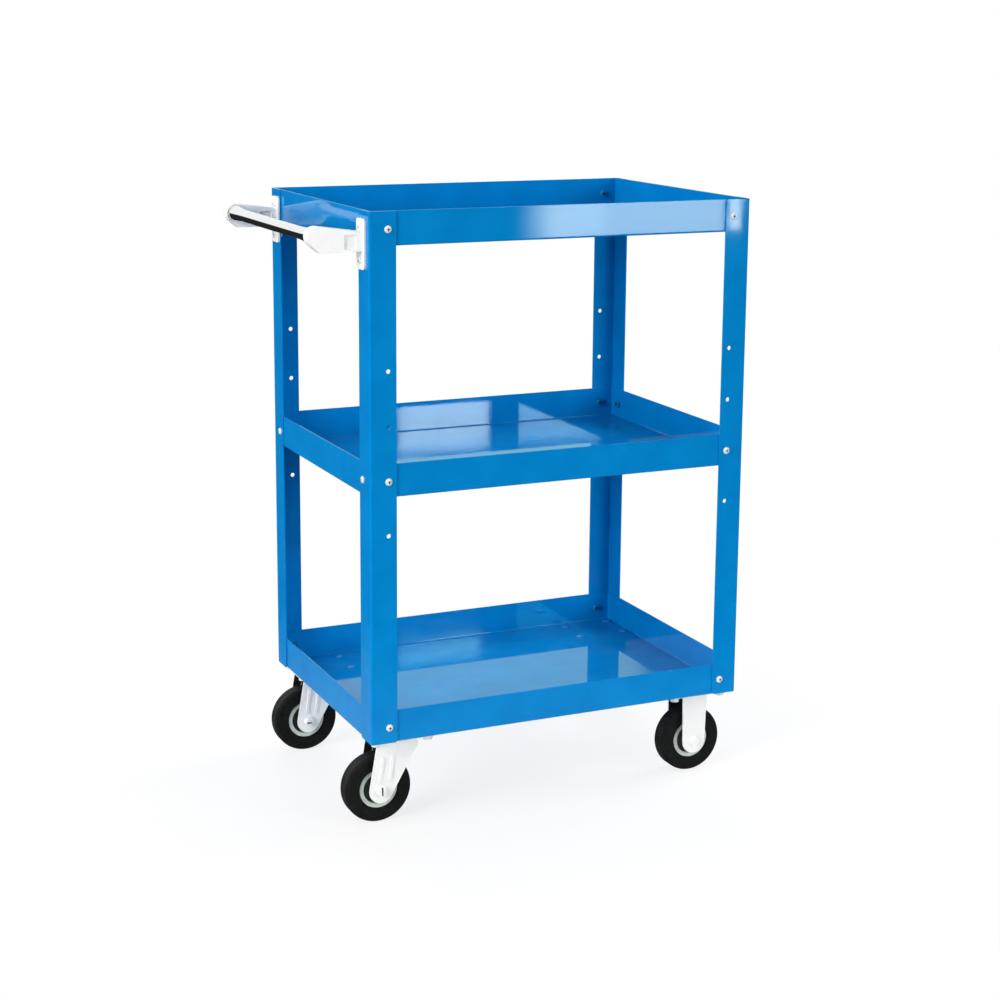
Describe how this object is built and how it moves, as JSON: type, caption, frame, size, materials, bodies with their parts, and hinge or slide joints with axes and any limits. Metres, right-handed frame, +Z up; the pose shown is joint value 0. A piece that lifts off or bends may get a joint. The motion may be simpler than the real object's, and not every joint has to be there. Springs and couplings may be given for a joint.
{
  "type": "three-tier tray cart",
  "caption": "Steel tray cart with angle posts, stacked open trays, an end push handle, swivel casters under the handle end and rigid casters under the other.",
  "frame": {"origin": "on the floor under the middle of the whole cart, handle included", "axes": "+Z up, +X along the tray length away from the handle, +Y from the front long side to the rear one"},
  "size_m": [0.6848, 0.4266, 0.893],
  "materials": {
    "blue_paint": "gloss blue powder coat on sheet steel",
    "zinc_screws": "zinc plated",
    "handle_chrome": "polished chrome plated tube",
    "handle_bracket_white": "white moulded plastic",
    "caster_zinc": "bright zinc plated pressing",
    "bearing_steel": "oiled bearing steel",
    "core_grey": "pale grey moulded core",
    "tyre_black": "solid black rubber"
  },
  "bodies": {
    "frame": {"post_front_left": "blue_paint", "post_front_right": "blue_paint", "post_rear_left": "blue_paint", "post_rear_right": "blue_paint", "top_tray": "blue_paint", "top_tray_screws": "zinc_screws", "top_tray_nuts": "blue_paint", "middle_tray": "blue_paint", "middle_tray_screws": "zinc_screws", "middle_tray_nuts": "blue_paint", "bottom_tray": "blue_paint", "bottom_tray_screws": "zinc_screws", "bottom_tray_nuts": "blue_paint", "handle_tube": "handle_chrome", "handle_bracket_front": "handle_bracket_white", "handle_bracket_rear": "handle_bracket_white", "handle_bracket_screws": "zinc_screws", "handle_bracket_nuts": "zinc_screws", "swivel_plate_front_left": "caster_zinc", "swivel_lower_race_front_left": "caster_zinc", "swivel_king_pin_front_left": "caster_zinc", "swivel_king_nut_front_left": "caster_zinc", "swivel_ball_ring_front_left": "bearing_steel", "swivel_plate_rear_left": "caster_zinc", "swivel_lower_race_rear_left": "caster_zinc", "swivel_king_pin_rear_left": "caster_zinc", "swivel_king_nut_rear_left": "caster_zinc", "swivel_ball_ring_rear_left": "bearing_steel", "rigid_bracket_front_right": "caster_zinc", "rigid_bracket_rear_right": "caster_zinc", "axle_bolt_front_right": "caster_zinc", "axle_nut_front_right": "caster_zinc", "axle_sleeve_front_right": "bearing_steel", "axle_bolt_rear_right": "caster_zinc", "axle_nut_rear_right": "caster_zinc", "axle_sleeve_rear_right": "bearing_steel", "caster_bolts": "blue_paint", "caster_nuts": "zinc_screws"},
    "swivel_front_left": {"swivel_fork_front_left": "caster_zinc", "axle_bolt_front_left": "caster_zinc", "axle_nut_front_left": "caster_zinc", "axle_sleeve_front_left": "bearing_steel"},
    "swivel_rear_left": {"swivel_fork_rear_left": "caster_zinc", "axle_bolt_rear_left": "caster_zinc", "axle_nut_rear_left": "caster_zinc", "axle_sleeve_rear_left": "bearing_steel"},
    "wheel_front_left": {"wheel_core_front_left": "core_grey", "tyre_front_left": "tyre_black"},
    "wheel_front_right": {"wheel_core_front_right": "core_grey", "tyre_front_right": "tyre_black"},
    "wheel_rear_left": {"wheel_core_rear_left": "core_grey", "tyre_rear_left": "tyre_black"},
    "wheel_rear_right": {"wheel_core_rear_right": "core_grey", "tyre_rear_right": "tyre_black"}
  },
  "joints": [
    {"name": "swivel_front_left", "type": "hinge", "parent": "frame", "child": "swivel_front_left", "pos_m": [-0.20588, -0.16, 0.123], "axis": [0, 0, 1], "continuous": true},
    {"name": "swivel_rear_left", "type": "hinge", "parent": "frame", "child": "swivel_rear_left", "pos_m": [-0.20588, 0.16, 0.123], "axis": [0, 0, 1], "continuous": true},
    {"name": "spin_front_left", "type": "hinge", "parent": "swivel_front_left", "child": "wheel_front_left", "pos_m": [-0.23588, -0.16, 0.051], "axis": [0, 1, 0], "continuous": true},
    {"name": "spin_front_right", "type": "hinge", "parent": "frame", "child": "wheel_front_right", "pos_m": [0.28413, -0.16, 0.051], "axis": [0, 1, 0], "continuous": true},
    {"name": "spin_rear_left", "type": "hinge", "parent": "swivel_rear_left", "child": "wheel_rear_left", "pos_m": [-0.23588, 0.16, 0.051], "axis": [0, 1, 0], "continuous": true},
    {"name": "spin_rear_right", "type": "hinge", "parent": "frame", "child": "wheel_rear_right", "pos_m": [0.28413, 0.16, 0.051], "axis": [0, 1, 0], "continuous": true}
  ]
}
